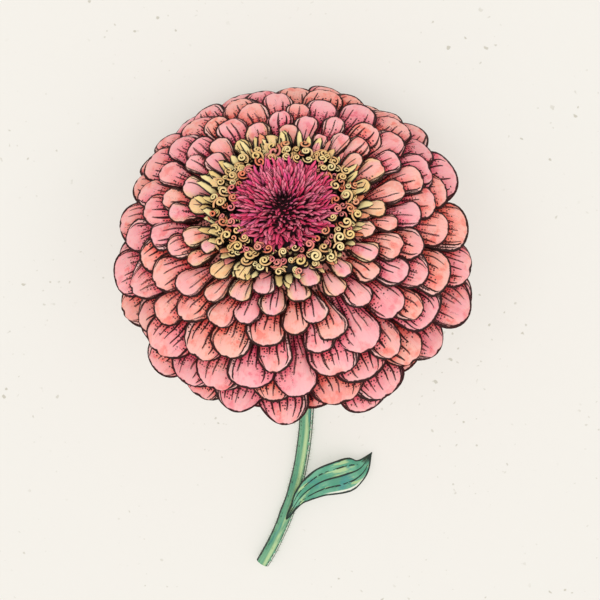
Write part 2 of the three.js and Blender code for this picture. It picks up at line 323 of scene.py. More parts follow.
def back_petal_measures(k):
    """Measures of petal k of the rows under the skirt. The first row reaches further out."""
    i = PETAL_COUNT + k
    tip_radius, tip_height, width, length, tip_slope, bend = BACK_ROWS[k * len(BACK_ROWS) // BACK_PETALS]
    azimuth = PETAL_PHASE + i * GOLDEN_ANGLE + pick(-3, 3, i, 1) * DEGREE
    radius = tip_radius + pick(-1.5, 1.5, i, 4)
    height = tip_height + pick(-0.6, 0.6, i, 3)
    tip = np.array([[radius * math.cos(azimuth), radius * math.sin(azimuth), height]])
    short = min(max((FLOOR_ROOM - to_row(tip)[0, 2]) / TIP_RISE, 0), MOST_SHORTENED)
    return {
        "t": 1,
        "azimuth": azimuth,
        "tip_radius": radius - short,
        "tip_height": height,
        "width": width * pick(0.92, 1.08, i, 2),
        "length": length - short,
        "tip_slope": tip_slope,
        "bend": bend,
        "root": 0,
        "point": 2.3,
        "strokes": 6,
        "fold": 0,
    }


def midrib_at(petal, v):
    """Radius, height and slope of a petal's midrib, an arc, at share v of its length."""
    curvature = petal["bend"] / petal["length"]
    slope = petal["tip_slope"] + petal["bend"] * (1 - v)
    radius = petal["tip_radius"] - (np.sin(slope) - math.sin(petal["tip_slope"])) / curvature
    height = petal["tip_height"] + (np.cos(slope) - math.cos(petal["tip_slope"])) / curvature
    return radius, height, slope


def petal_half_width(petal, v):
    """Half the width of a petal: a narrow claw, fuller sides and a round or slightly pointed end."""
    size = petal["width"] / 2
    back = (1 - v) * petal["length"] / size
    spread = petal["t"]
    sides = mix(1, 0.32, ease(mix(0.6, 0.85, spread), mix(3.4, 4.6, spread), back))
    tip = np.clip(1 - back / ROUND_TIP, 0, 1)
    return size * sides * np.sqrt(np.clip(1 - tip ** petal["point"], 0, 1))


def petal_rows(petal, count):
    """Shares of the length, from the claw to the tip, closer together where the tip turns round."""
    turn_start = 1 - ROUND_TIP * petal["width"] / 2 / petal["length"]
    turning = (count + 1) // 2
    lower = np.linspace(-petal["root"], turn_start, count - turning, endpoint=False)
    turn = np.linspace(0, math.pi / 2, turning)
    return np.concatenate([lower, turn_start + (1 - turn_start) * np.sin(turn)])


def edge_distance(x, y, outline):
    """How far each point of a flat blade is from its outline, in mm."""
    start, end = outline[:-1], outline[1:]
    step = end - start
    point = np.stack([x.ravel(), y.ravel()], 1)[:, None, :]
    share = ((point - start) * step).sum(-1) / np.maximum((step**2).sum(-1), 1e-9)
    near = start + np.clip(share, 0, 1)[..., None] * step
    return np.sqrt(((point - near) ** 2).sum(-1)).min(1).reshape(x.shape)


def petal_shape(i, petal):
    """Petal i in the bloom's frame: its upper and lower grids of points, with u, v and x of each."""
    length, size = petal["length"], petal["width"] / 2
    v = petal_rows(petal, PETAL_ROWS)[:, None]
    u = np.sin(np.linspace(-1, 1, PETAL_COLUMNS) * 1.2)[None, :] / math.sin(1.2)
    v, u = np.broadcast_arrays(v, u)
    half = petal_half_width(petal, v)
    back = (1 - v) * length / size
    near_tip = 1 - ease(0.4, 3.2, back)
    full = half / size
    wobble = 1 + 0.08 * np.sin(2.1 * back + 6.3 * draw(i, 11) + 1.6 * np.sign(u)) * near_tip
    x = u * half * wobble
    scallop = np.cos(u * math.pi * (1.5 + draw(i, 12))) - 1
    notch = pick(-0.02, 0.06, i, 16) * size / length * scallop * (1 - ease(0, 1.3, back))
    radius, height, slope = midrib_at(petal, v - notch * np.clip(full * 2, 0, 1))

    crown = np.interp(v, CROWN_ALONG, CROWN)
    grow = size / 8
    turned_up = (u * petal["fold"] > 0) * ease(0.66, 1, np.abs(u)) * ease(0.3, 1.4, back) * near_tip
    lift = -crown * half * np.abs(u) ** 1.8
    lift = lift - 0.14 * grow * np.cos(u * 3 * math.pi) * (1 - near_tip * 0.5) * (1 - u**2)
    lift = lift + 0.6 * grow * u**2 * full * np.sin(2.4 * back + 6.3 * draw(i, 13) + 1.2 * u) * near_tip
    lift = lift + x * pick(-0.1, 0.14, i, 14) * near_tip
    lift = lift + 1.5 * grow * turned_up * full
    lift = lift + pick(-0.7, 0.6, i, 15) * grow * (1 - ease(0, 1.6, back))
    margin = np.clip(np.maximum(np.abs(u) ** 5, 1 - 3 * back), 0, 1)
    thin = PETAL_THICKNESS / 2 * (1 - 0.7 * margin) * mix(0.75, 1, grow)

    upper, lower = (
        around_axis(petal["azimuth"], radius - np.sin(slope) * rise, height + np.cos(slope) * rise, x)
        for rise in (lift + thin, lift - thin)
    )
    return {"upper": upper, "lower": lower, "u": u, "v": v, "x": x, "half": half}


def bare_lengths(petal, shape, bloom):
    """How much of each column of a petal, in mm back from its tip, no other petal lies over."""
    length = petal["length"]
    back = np.minimum(np.linspace(0.03, 1, 26) * length, length)
    away = Vector(unit(unit(UP + SKY) + 0.1 * direction(petal["azimuth"])))
    bare = []
    for column in range(PETAL_COLUMNS):
        line = shape["upper"][:, column]
        place = (1 - shape["v"][:, column])[::-1] * length
        points = np.stack([np.interp(back, place, line[::-1, k]) for k in range(3)], 1)
        free = length
        for distance, point in zip(back, points):
            if bloom.ray_cast(Vector(point) + away * 0.7, away)[0]:
                free = distance
                break
        bare.append(free)
    bare = np.convolve(np.pad(bare, 1, mode="edge"), (0.25, 0.5, 0.25), "valid")
    return np.maximum(bare, 1.5)


def add_petal(sheet, i, petal, shape, bloom, faces):
    length, size = petal["length"], petal["width"] / 2
    u, v = shape["u"], shape["v"]
    points = to_row(np.concatenate([shape["upper"].reshape(-1, 3), shape["lower"].reshape(-1, 3)]))
    points[points[:, 2] < 0, 2] = PRESSED_HEIGHT

    outline_v = petal_rows(petal, 40)
    outline_w = petal_half_width(petal, outline_v)
    right = np.stack([outline_w, outline_v * length], 1)
    outline = np.concatenate([right, (right * (-1, 1))[::-1]])
    edge = edge_distance(u * shape["half"], v * length, outline)
    bare = bare_lengths(petal, shape, bloom)
    shown = 1 - (1 - v) * length / bare
    lane = (u + 1) * petal["strokes"] / 2
    sides = lambda upper, lower: np.concatenate([(part + 0 * v).reshape(-1) for part in (upper, lower)])
    flat = np.ones(v.size * 2)
    top = np.concatenate([np.ones(v.size), np.zeros(v.size)])
    sheet.add(
        points,
        faces,
        place=np.stack([both(u), sides(shown, v), both(lane)], 1),
        span=np.stack([both(shape["x"]), both(v * length), both(edge)], 1),
        tone=np.stack([flat * draw(i, 21), flat * petal["t"], top], 1),
        form=np.stack([both(u * petal["fold"]), sides(bare, length), flat * size], 1),
    )


def core_sheet(sheet):
    """The core that the petals grow from, painted as the deepest part of a petal: its deep base colour,
    ink strokes and painted shade.
    """
    points, faces = turned(CORE_PROFILE, 42)
    turn = np.arctan2(points[:, 1], points[:, 0])
    flat = np.ones(len(points))
    sheet.add(
        to_row(points),
        faces,
        place=np.stack([0 * flat, -flat, turn * CORE_STROKES], 1),
        span=np.stack([turn * 20, points[:, 2], 9 * flat], 1),
        tone=(0.5, 0.5, 0),
        form=(0, 3, 5),
    )


# ---- materials


def rgb(hexadecimal):
    """A screen colour as Blender's linear one."""
    parts = [int(hexadecimal[k : k + 2], 16) / 255 for k in (1, 3, 5)]
    return tuple(c / 12.92 if c < 0.04045 else ((c + 0.055) / 1.055) ** 2.4 for c in parts) + (1,)


class Paint:
    """A Principled material whose inputs are built as formulas."""

    def __init__(self, name, **uniform):
        self.material = bpy.data.materials.new(name)
        self.material.use_nodes = True
        self.tree = self.material.node_tree
        self.surface = self.tree.nodes["Principled BSDF"]
        for socket, value in uniform.items():
            self.surface.inputs[socket.replace("_", " ")].default_value = value

    def node(self, kind, inputs, **settings):
        made = self.tree.nodes.new(kind)
        for key, value in settings.items():
            setattr(made, key, value)
        for key, value in inputs.items():
            self.put(made.inputs[key], value)
        return made

    def put(self, socket, value):
        if isinstance(value, bpy.types.NodeSocket):
            self.tree.links.new(value, socket)
        else:
            socket.default_value = value

    def math(self, operation, a, b=0.0, c=0.0):
        return self.node("ShaderNodeMath", {0: a, 1: b, 2: c}, operation=operation).outputs[0]

    def add(self, a, b):
        return self.math("ADD", a, b)

    def sub(self, a, b):
        return self.math("SUBTRACT", a, b)

    def mul(self, a, b):
        return self.math("MULTIPLY", a, b)

    def ease(self, value, low, high):
        """0 below low, 1 above high, smooth between; low may be the larger."""
        inputs = {"Value": value, "From Min": low, "From Max": high}
        return self.node("ShaderNodeMapRange", inputs, interpolation_type="SMOOTHSTEP").outputs["Result"]

    def blend(self, share, a, b):
        made = self.node("ShaderNodeMix", {}, data_type="RGBA", clamp_factor=True)
        for socket, value in zip((made.inputs[0], made.inputs[6], made.inputs[7]), (share, a, b)):
            self.put(socket, value)
        return made.outputs[2]

    def tint(self, colour, share, amount, code):
        """The colour, with another one over it where share is 1, as thick as amount."""
        return self.blend(self.mul(share, amount), colour, rgb(code))

    def read(self, name):
        source = self.node("ShaderNodeAttribute", {}, attribute_name=name)
        parts = self.node("ShaderNodeSeparateXYZ", {"Vector": source.outputs["Vector"]})
        return parts.outputs[0], parts.outputs[1], parts.outputs[2]

    def vector(self, x, y, z):
        return self.node("ShaderNodeCombineXYZ", {"X": x, "Y": y, "Z": z}).outputs[0]

    def noise(self, vector, scale, detail=2.0, roughness=0.5):
        inputs = {"Vector": vector, "Scale": scale, "Detail": detail, "Roughness": roughness}
        return self.node("ShaderNodeTexNoise", inputs).outputs[0]

    def random(self, x, y, z):
        inputs = {"Vector": self.vector(x, y, z)}
        return self.node("ShaderNodeTexWhiteNoise", inputs, noise_dimensions="3D").outputs[0]

    def strokes(self, lane, along, seed, reach, width):
        """Lines that run along the surface from along = 0, one to each whole step of lane. Each reaches
        as far as it draws, up to reach, and tapers off; width is a share of the step."""
        index = self.math("FLOOR", lane)
        length = self.random(index, seed, 3.7)
        length = self.mul(self.add(self.mul(length, 0.5), 0.42), reach)
        shift = self.mul(self.sub(self.random(index, seed, 9.1), 0.5), 0.5)
        off = self.math("ABSOLUTE", self.sub(self.sub(self.math("FRACT", lane), 0.5), shift))
        left = self.sub(1.0, self.math("DIVIDE", along, length))
        thickness = self.mul(self.add(self.mul(self.math("MAXIMUM", left, 0.0), 0.6), 0.4), width)
        line = self.ease(off, self.mul(thickness, 1.3), self.mul(thickness, 0.6))
        return self.mul(line, self.ease(left, 0.0, 0.08))

    def dots(self, x, y, seed, spacing, radius, amount):
        """Specks at random places of a grid; amount from 0 to 1 is how many of the cells hold one."""
        gx, gy = self.mul(x, 1 / spacing), self.mul(y, 1 / spacing)
        cx, cy = self.math("FLOOR", gx), self.math("FLOOR", gy)
        ox = self.mul(self.sub(self.random(cx, cy, seed), 0.5), 0.5)
        oy = self.mul(self.sub(self.random(cy, cx, self.add(seed, 5.0)), 0.5), 0.5)
        dx = self.sub(self.sub(self.math("FRACT", gx), 0.5), ox)
        dy = self.sub(self.sub(self.math("FRACT", gy), 0.5), oy)
        far = self.math("SQRT", self.add(self.mul(dx, dx), self.mul(dy, dy)))
        held = self.math("LESS_THAN", self.random(cx, cy, self.add(seed, 11.0)), amount)
        return self.mul(held, self.ease(far, radius / spacing * 1.25, radius / spacing * 0.75))

    def largest(self, *values):
        found = values[0]
        for value in values[1:]:
            found = self.math("MAXIMUM", found, value)
        return found

    def size_of(self, value):
        return self.math("ABSOLUTE", value)

    def finish(self, colour, roughness, height=None, distance=0.0002, strength=1.0):
        self.put(self.surface.inputs["Base Color"], colour)
        self.put(self.surface.inputs["Roughness"], roughness)
        if height is not None:
            inputs = {"Height": height, "Distance": distance, "Strength": strength}
            bump = self.node("ShaderNodeBump", inputs)
            self.put(self.surface.inputs["Normal"], bump.outputs[0])
        return self.material


# The black of the ink lines; the petals and the ring also paint their shade in it.
INK = rgb("#120406")


def petal_material():
    p = Paint("petal", Subsurface_Weight=0.1, Subsurface_Scale=0.002, Specular_IOR_Level=0.1)
    across, shown, lane = p.read("place")
    x, y, edge = p.read("span")
    seed, outer, top = p.read("tone")
    fold, bare, size = p.read("form")
    seed100 = p.mul(seed, 100.0)
    where = p.vector(x, y, seed100)
    wash = p.noise(where, 0.15, 2.0, 0.55)
    fine = p.noise(where, 0.55, 3.0, 0.6)
    grain = p.noise(p.vector(p.mul(x, 2.4), p.mul(y, 0.25), seed100), 1.0, 3.0, 0.6)

    orange = p.ease(p.add(p.mul(p.random(seed100, 1.0, 2.0), 0.6), p.mul(wash, 0.8)), 0.5, 1.0)
    light = p.blend(orange, rgb("#fdb9bb"), rgb("#febeaf"))
    middle = p.blend(orange, rgb("#fb939c"), rgb("#fc9581"))
    deep = p.blend(orange, rgb("#e94166"), rgb("#f34a3c"))
    tip = p.ease(p.add(shown, p.mul(p.sub(wash, 0.5), 1.1)), 0.12, 0.85)
    depth = p.mul(p.add(shown, p.mul(p.sub(fine, 0.5), 0.3)), bare)
    # Deep colour where a petal runs under others, stronger the further under: partly the petal's own
    # deep base, partly painted shade.
    claw = p.ease(p.add(shown, p.mul(p.sub(fine, 0.5), 0.5)), 0.41, -0.1)
    claw = p.mul(claw, p.add(p.mul(p.ease(depth, -6.5, -1.5), 0.7), 0.3))
    colour = p.blend(tip, middle, light)
    pool = p.noise(where, 0.3, 3.0, 0.6)
    colour = p.blend(p.mul(p.ease(pool, 0.5, 0.56), 0.45), colour, middle)
    colour = p.blend(p.mul(p.ease(pool, 0.45, 0.38), 0.5), colour, light)
    colour = p.blend(p.mul(p.mul(p.ease(pool, 0.57, 0.66), p.ease(shown, 1.3, 0.4)), 0.5), colour, deep)
    colour = p.blend(p.mul(claw, 0.95), colour, deep)
    colour = p.blend(p.mul(p.ease(grain, 0.52, 0.75), 0.22), colour, deep)
    colour = p.tint(colour, p.ease(fold, 0.68, 0.76), 0.6, "#fbcfc6")
    some = p.math("GREATER_THAN", p.random(seed100, 7.0, 5.0), 0.45)
    margin = p.add(p.size_of(across), p.mul(fine, 0.6))
    yellow = p.mul(p.ease(outer, 0.2, 0.02), p.ease(margin, 0.6, 1.2))
    yellow = p.mul(yellow, p.add(p.mul(some, 0.6), 0.1))
    base = p.mul(p.ease(outer, 0.09, 0.0), p.ease(shown, 0.3, 0.05))
    golden = p.math("LESS_THAN", p.random(seed100, 2.0, 6.0), 0.4)
    gold = p.mul(p.ease(outer, 0.03, 0.0), golden)
    base = p.largest(base, gold)
    colour = p.tint(colour, p.largest(yellow, base), 0.85, "#fbdc90")

    colour = p.tint(colour, p.sub(1.0, top), 0.5, "#fcc4b6")

    start = p.largest(p.add(shown, 0.06), 0.0)
    bend = p.mul(p.sub(p.noise(where, 0.12, 1.0), 0.5), 1.1)
    reach = p.add(0.86, p.mul(p.ease(p.size_of(across), 0.45, 0.9), 0.42))
    reach = p.add(reach, p.mul(p.ease(outer, 0.3, 0.0), 0.3))
    stroke = p.strokes(p.add(lane, bend), start, seed100, reach, 0.18)
    speck = p.dots(x, y, seed100, 0.8, 0.26, p.mul(p.ease(shown, 0.52, 0.04), 0.9))
    ragged = p.mul(p.sub(p.noise(where, 0.8, 2.0), 0.5), 0.8)
    ragged = p.add(p.add(0.35, p.mul(size, 0.045)), ragged)
    line = p.ease(edge, p.add(ragged, 0.12), p.sub(ragged, 0.08))
    crease = p.size_of(p.sub(fold, p.add(0.66, p.mul(fine, 0.12))))
    hem = p.mul(p.ease(crease, 0.05, 0.025), p.ease(shown, 0.8, 0.7))
    # Painted shade: ink-dark just under the edge of a covering petal, fading further under, lighter on
    # the inner petals.
    shade = p.mul(p.ease(depth, 0.7, -0.6), p.add(p.mul(p.ease(depth, -3.5, -1.0), 0.32), 0.1))
    shade = p.mul(shade, p.add(p.mul(p.ease(outer, 0.02, 0.2), 0.6), 0.4))
    # Ink lines, specks and creases, together with the painted shade.
    ink = p.largest(stroke, speck, line, hem, shade)
    colour = p.blend(p.mul(ink, 0.97), colour, INK)

    ribs = p.math("SINE", p.mul(lane, 6.283))
    height = p.add(p.mul(p.mul(ribs, 0.5), p.ease(shown, 1.05, 0.2)), p.mul(grain, 0.8))
    roughness = p.add(0.5, p.mul(fine, 0.2))
    return p.finish(colour, roughness, height, 0.00016, 0.8)


def build_petals():
    sheet = Sheet("place", "span", "tone", "form")
    faces = blade_faces(PETAL_ROWS, PETAL_COLUMNS)
    petals = {i: petal_measures(i) for i in range(-MORE_PETALS, PETAL_COUNT)}
    petals.update({PETAL_COUNT + k: back_petal_measures(k) for k in range(BACK_PETALS)})
    shapes = {i: petal_shape(i, petal) for i, petal in petals.items()}
    points = np.concatenate([shape["upper"].reshape(-1, 3) for shape in shapes.values()])
    upper_faces = [face for face in faces if max(face) < PETAL_ROWS * PETAL_COLUMNS]
    size = PETAL_ROWS * PETAL_COLUMNS
    every = [tuple(k + n * size for k in face) for n in range(len(shapes)) for face in upper_faces]
    bloom = BVHTree.FromPolygons(points.tolist(), every)
    for i, petal in petals.items():
        add_petal(sheet, i, petal, shapes[i], bloom, faces)
    core_sheet(sheet)
    return sheet.mesh("petals", petal_material(), "ray_petals")


# ---- disc


def disc_height(radius):
    return mix(DISC_MIDDLE_HEIGHT, DISC_EDGE_HEIGHT, (radius / DISC_RADIUS) ** 2)


def strap(length, width, lean, curl, wiggle, phase):
    """A narrow pointed strap, cupped, growing from the origin along +Z, leaning over towards +X and
    waving from side to side. Returns its points and each one's share of the length and of the width."""
    s = np.linspace(0, 1, STRAP_ROWS)[:, None]
    u = np.array([-1, 0, 1])[None, :]
    s, u = np.broadcast_arrays(s, u)
    angle = lean + curl * s
    steps = STRAP_ROWS - 1
    step = length / steps
    heading = lean + curl * (np.arange(steps) + 0.5) / steps
    out = np.concatenate([[0], np.cumsum(np.sin(heading)) * step])[:, None]
    up = np.concatenate([[0], np.cumsum(np.cos(heading)) * step])[:, None]
    half = width / 2 * np.clip(0.6 + 1.2 * s, 0, 1) * np.sqrt(np.clip(1 - s**3.5, 0, 1)) + 0.02
    sway = wiggle * (np.sin(5 * s + phase) - math.sin(phase)) * s
    cup = 0.3 * half * (u**2)
    grids = []
    for face in (1, -1):
        rise = cup + face * STRAP_THICKNESS / 2 * (1 - 0.6 * s)
        points = np.stack([out - np.cos(angle) * rise, u * half + sway, up + np.sin(angle) * rise], -1)
        grids.append(points.reshape(-1, 3))
    return np.concatenate(grids), both(s), both(u)


def spin(points, azimuth, radius, height):
    """Points moved out by radius and up by height, then turned about +Z."""
    c, s = math.cos(azimuth), math.sin(azimuth)
    x = points[:, 0] + radius
    return np.stack([x * c - points[:, 1] * s, x * s + points[:, 1] * c, points[:, 2] + height], 1)


def disc_material():
    p = Paint("disc", Specular_IOR_Level=0.2)
    along, across, _ = p.read("place")
    seed, outer, _ = p.read("tone")
    base = p.blend(p.ease(seed, 0.1, 0.9), rgb("#fb4f7c"), rgb("#ff8fa6"))
    violet = p.ease(p.random(seed, 3.0, 8.0), 0.85, 0.9)
    base = p.tint(base, violet, 0.5, "#ee55a0")
    dark = p.ease(p.add(p.mul(along, 0.34), p.mul(outer, 1.1)), 0.52, 0.2)
    colour = p.blend(dark, base, rgb("#12040a"))
    rib = p.ease(p.size_of(across), 0.55, 0.9)
    # Dark at the roots of the straps: painted shade in the gaps between the florets.
    root = p.ease(along, 0.4, 0.1)
    end = p.ease(along, 0.93, 1.0)
    ink = p.largest(p.mul(rib, 0.9), p.mul(root, 0.9), p.mul(end, 0.85))
    colour = p.blend(ink, colour, rgb("#2a0812"))
    return p.finish(colour, 0.6)


def build_disc():
    sheet = Sheet("place", "tone")
    faces = [face[::-1] for face in blade_faces(STRAP_ROWS, 3)]
    radii = [share * DISC_RADIUS for share in (0, 0.3, 0.6, 0.8, 1)]
    profile = [(radius, disc_height(radius) - 0.4) for radius in radii]
    points, dome = turned(profile + [(DISC_RADIUS, DISC_FOOT), (0, DISC_FOOT)], 48)
    # The dome under the straps is painted dark all over, as painted shade under the florets.
    sheet.add(to_row(points), dome, place=(0, 0, 0), tone=(0.5, 0, 0))
    eye = direction(EYE_AZIMUTH) * EYE_OFFSET
    for i in range(STRAP_COUNT):
        share = math.sqrt((i + 0.5) / STRAP_COUNT)
        radius = share * (DISC_RADIUS - STRAP_INSET)
        length = mix(2.2, 5.6, share**0.7) * pick(0.75, 1.15, i, 31)
        width = mix(0.75, 1.35, share) * pick(0.8, 1.2, i, 32)
        lean = mix(0.1, 0.95, share**0.8) + pick(-0.25, 0.2, i, 33)
        curl = mix(0.3, 0.5, share) * pick(0.2, 1.5, i, 34)
        wiggle = pick(0.35, 1.05, i, 37) * share
        shape, along, across = strap(length, width, lean, curl, wiggle, 6.3 * draw(i, 38))
        turn = pick(-0.35, 0.35, i, 39)
        shape = spin(shape, turn, 0, 0)
        azimuth = i * GOLDEN_ANGLE + pick(-0.06, 0.06, i, 35)
        shape = spin(shape, azimuth, radius, disc_height(radius) - 0.9) + eye * (1 - share)
        place = np.stack([along, across, along * 0], 1)
        sheet.add(to_row(shape), faces, place=place, tone=(draw(i, 36), share, 0))
    return sheet.mesh("disc", disc_material(), "disc_florets")


# ---- ring of open florets


def ring_material():
    p = Paint("ring", Specular_IOR_Level=0.3)
    along, across, height = p.read("place")
    seed, kind, _ = p.read("tone")
    yellow = p.blend(p.ease(seed, 0.1, 0.9), rgb("#fde7a6"), rgb("#f8d388"))
    red = p.blend(p.ease(seed, 0.3, 0.7), rgb("#f0553f"), rgb("#ee5f84"))
    some = p.math("LESS_THAN", p.random(seed, 4.0, 1.0), kind)
    colour = p.blend(p.mul(some, 0.8), yellow, red)
    colour = p.tint(colour, p.ease(along, 0.4, 0.0), 0.4, "#d8704a")
    rim = p.ease(p.size_of(across), 0.42, 0.75)
    # Dark towards the bottom of each scroll's wall: painted shade between the scrolls.
    low = p.ease(height, 0.75, 0.3)
    tip = p.ease(along, 0.95, 1.0)
    ink = p.largest(rim, tip, low)
    colour = p.blend(ink, colour, INK)
    return p.finish(colour, 0.5)


def scroll(size, tall, turns, hand, steps):
    """A ribbon standing on edge and rolled up, so that from above it is a spiral with a short tail."""
    s = np.linspace(0, 1, steps)
    angle = hand * turns * 2 * math.pi * s
    radius = size * (1 - 0.82 * s) * (1 + 0.4 * np.exp(-s * 14))
    wall = 0.27 * size
    crest = tall * (0.75 + 0.35 * s)
    rings = []
    for away, rise in ((1, 0), (1, 0.88), (0.62, 1), (-0.62, 1), (-1, 0.88), (-1, 0)):
        at = radius + away * wall
        rings.append(np.stack([at * np.cos(angle), at * np.sin(angle), crest * rise], 1))
    points = np.stack(rings, 1).reshape(-1, 3)
    across = np.tile([-1, -1, -0.5, 0.5, 1, 1], steps)
    height = np.tile([0, 0.9, 1, 1, 0.9, 0], steps)
    faces = tube_faces(steps, 6)
    if hand < 0:
        faces = [face[::-1] for face in faces]
    return points, faces, np.stack([np.repeat(s, 6) * 0.94, across, height], 1)


def build_ring():
    sheet = Sheet("place", "tone")
    inner, outer = RING_RADIUS
    profile = [(inner, RING_HEIGHT), (outer, RING_HEIGHT - 1), (outer, DISC_FOOT), (inner, DISC_FOOT)]
    points, faces = turned(profile + profile[:1], 84)
    # The band under the scrolls is painted in the ink's black all over: painted shade in the gaps
    # between them.
    sheet.add(to_row(points), faces[:-2], place=(0.5, 1, 0))
    for row, (radius, count, size, drop) in enumerate(CURL_ROWS):
        for i in range(count):
            item = i + row * 40
            azimuth = (i + row * 0.45) / count * 2 * math.pi + pick(-0.05, 0.05, item, 41)
            grown = size * pick(0.8, 1.15, item, 42)
            hand = 1 if draw(item, 44) < 0.5 else -1
            turns = pick(1.25, 1.8, item, 45)
            shape, faces, place = scroll(grown, SCROLL_HEIGHT, turns, hand, 26 if size > 1.4 else 18)
            shape = spin(shape, 6.3 * draw(item, 46), 0, 0)
            tilt = np.array(Matrix.Rotation(pick(-0.25, 0.45, item, 48), 3, "Y"))
            rise = RING_HEIGHT + pick(1.1, 2.1, item, 49) - drop
            shape = spin(shape @ tilt.T, azimuth, radius + pick(-0.3, 0.3, item, 50), rise)
            redness = 0.55 if radius < INNER_SCROLLS else 0.22
            sheet.add(to_row(shape), faces, place=place, tone=(draw(item, 47), redness, 0))
            stalk, tube = turned([(0.75, rise + 0.6), (0.6, rise - 1), (0.5, RING_HEIGHT - 1.2)], 8)
            stalk = spin(stalk, azimuth, radius, 0)
            sheet.add(to_row(stalk), tube, place=(0.3, 0, 0.5), tone=(draw(item, 47), 0, 0))
    strap_faces = [face[::-1] for face in blade_faces(STRAP_ROWS, 3)]
    for i in range(SCALE_COUNT):
        azimuth = i / SCALE_COUNT * 2 * math.pi + pick(-0.05, 0.05, i, 71)
        lean = pick(0.55, 1.15, i, 72)
        showy = 0.5 + 0.5 * math.cos(azimuth - SHOWY_AZIMUTH)
        length = pick(5.2, 8.2, i, 73) * mix(0.8, 1, showy)
        width = pick(2, 3.7, i, 74)
        shape, along, across = strap(length, width, lean, 0.3, 0.3, 6.3 * draw(i, 75))
        shape = spin(shape, pick(-0.3, 0.3, i, 76), 0, 0)
        shape = spin(shape, azimuth, pick(*SCALE_RADIUS, i, 77), SCALE_FOOT)
        place = np.stack([along, across, along * 0 + 1], 1)
        tone = (0.8 * draw(i, 78), 0.4 * (1 - showy), 0)
        sheet.add(to_row(shape), strap_faces, place=place, tone=tone)
    return sheet.mesh("ring", ring_material(), "ring_florets")


# ---- involucre


def cup_wall(place):
    """Radius and height of the cup's wall; place counts the points of its profile from the foot."""
    k = min(int(place), len(CUP_PROFILE) - 2)
    (r0, h0), (r1, h1) = CUP_PROFILE[k], CUP_PROFILE[k + 1]
    return mix(r0, r1, place - k), mix(h0, h1, place - k)


def bract_material():
    p = Paint("bract", Specular_IOR_Level=0.35)
    across, along, edge = p.read("place")
    x, y, seed = p.read("span")
    wash = p.noise(p.vector(x, y, p.mul(seed, 60.0)), 0.45, 3.0)
    colour = p.blend(wash, rgb("#4f8a63"), rgb("#8db76c"))
    colour = p.tint(colour, p.ease(along, 0.45, 0.0), 0.5, "#356b4c")
    vein = p.ease(p.size_of(p.math("SINE", p.mul(across, 7.0))), 0.25, 0.1)
    colour = p.tint(colour, vein, 0.3, "#25492f")
    colour = p.tint(colour, p.ease(edge, 0.75, 0.15), 0.9, "#2a1a14")
    return p.finish(colour, p.add(0.45, p.mul(wash, 0.2)), wash, 0.0002, 0.6)


def build_involucre():
    sheet = Sheet("place", "span")
    points, faces = turned([(0, CUP_PROFILE[-1][1])] + CUP_PROFILE[::-1] + [(0, CUP_FOOT)], 40)
    sheet.add(to_row(points), faces, place=(0, 0, 3), span=(0, 0, 0.5))
    rows, columns = BRACT_GRID
    bract_faces = blade_faces(rows, columns)
    for row, (count, foot, length, width) in enumerate(BRACT_ROWS):
        base_r, base_h = cup_wall(foot)
        tip_r, tip_h = cup_wall(min(foot + 1.45, 3.98))
        reach = math.hypot(tip_r - base_r, tip_h - base_h)
        along_r, along_h = (tip_r - base_r) / reach * length, (tip_h - base_h) / reach * length
        away_r, away_h = along_h / length, -along_r / length
        for i in range(count):
            item = row * 20 + i
            azimuth = (i + row / 2) / count * 2 * math.pi + pick(-0.05, 0.05, item, 51)
            turn = np.linspace(0, math.pi / 2, rows)[:, None]
            v, u = np.broadcast_arrays(np.sin(turn), np.linspace(-1, 1, columns)[None, :])
            half = width / 2 * np.sqrt(np.clip(1 - v**3.2, 0, 1)) * (0.85 + 0.15 * v)
            proud = mix(-0.2, 0.75, v) * pick(0.8, 1.2, item, 52) + 0.35
            proud = proud - 0.9 * (u * half / width) ** 2 * 2
            thin = BRACT_THICKNESS / 2 * (1 - 0.6 * v)
            grids = []
            for rise in (proud + thin, proud - thin):
                radius = base_r + along_r * v + away_r * rise
                height = base_h + along_h * v + away_h * rise
                grids.append(to_row(around_axis(azimuth, radius, height, u * half).reshape(-1, 3)))
            edge = np.minimum((1 - np.abs(u)) * half, (1 - v) * length)
            place = np.stack([both(u), both(v), both(edge)], 1)
            span = np.stack([both(u * half), both(v * length), both(v * 0 + draw(item, 53))], 1)
            sheet.add(np.concatenate(grids), [f[::-1] for f in bract_faces], place=place, span=span)
    return sheet.mesh("bracts", bract_material(), "involucre")


# ---- stem and leaf

AXIS = np.array(HEAD.to_3x3() @ Vector(UP))
STEM_TOP = HEAD_PLACE + AXIS * (CUP_FOOT - CLEARANCE)
STEM_REST = STEM_RADIUS * math.cos(math.pi / STEM_SIDES)
ARC_RADIUS = (STEM_TOP[2] - STEM_REST) / (1 - math.cos(BLOOM_ELEVATION))
ARC_REACH = ARC_RADIUS * math.sin(BLOOM_ELEVATION)


def stem_at(reach):
    left = max(ARC_REACH - reach, 0)
    return np.array(
        [
            STEM_TOP[0] + math.tan(BLOOM_TURN) * reach - STEM_BOW * reach**3,
            STEM_TOP[1] - reach,
            STEM_REST + ARC_RADIUS - math.sqrt(ARC_RADIUS**2 - left**2),
        ]
    )


def stem_frame(reach):
    forward = unit(stem_at(reach + 0.5) - stem_at(reach - 0.5)) if reach > 0.5 else -AXIS
    side = unit(np.cross(forward, UP))
    return stem_at(reach), forward, side, np.cross(side, forward)


def stem_radius(reach):
    return STEM_RADIUS + (STEM_NECK_RADIUS - STEM_RADIUS) * (1 - float(ease(0, 16, reach)))


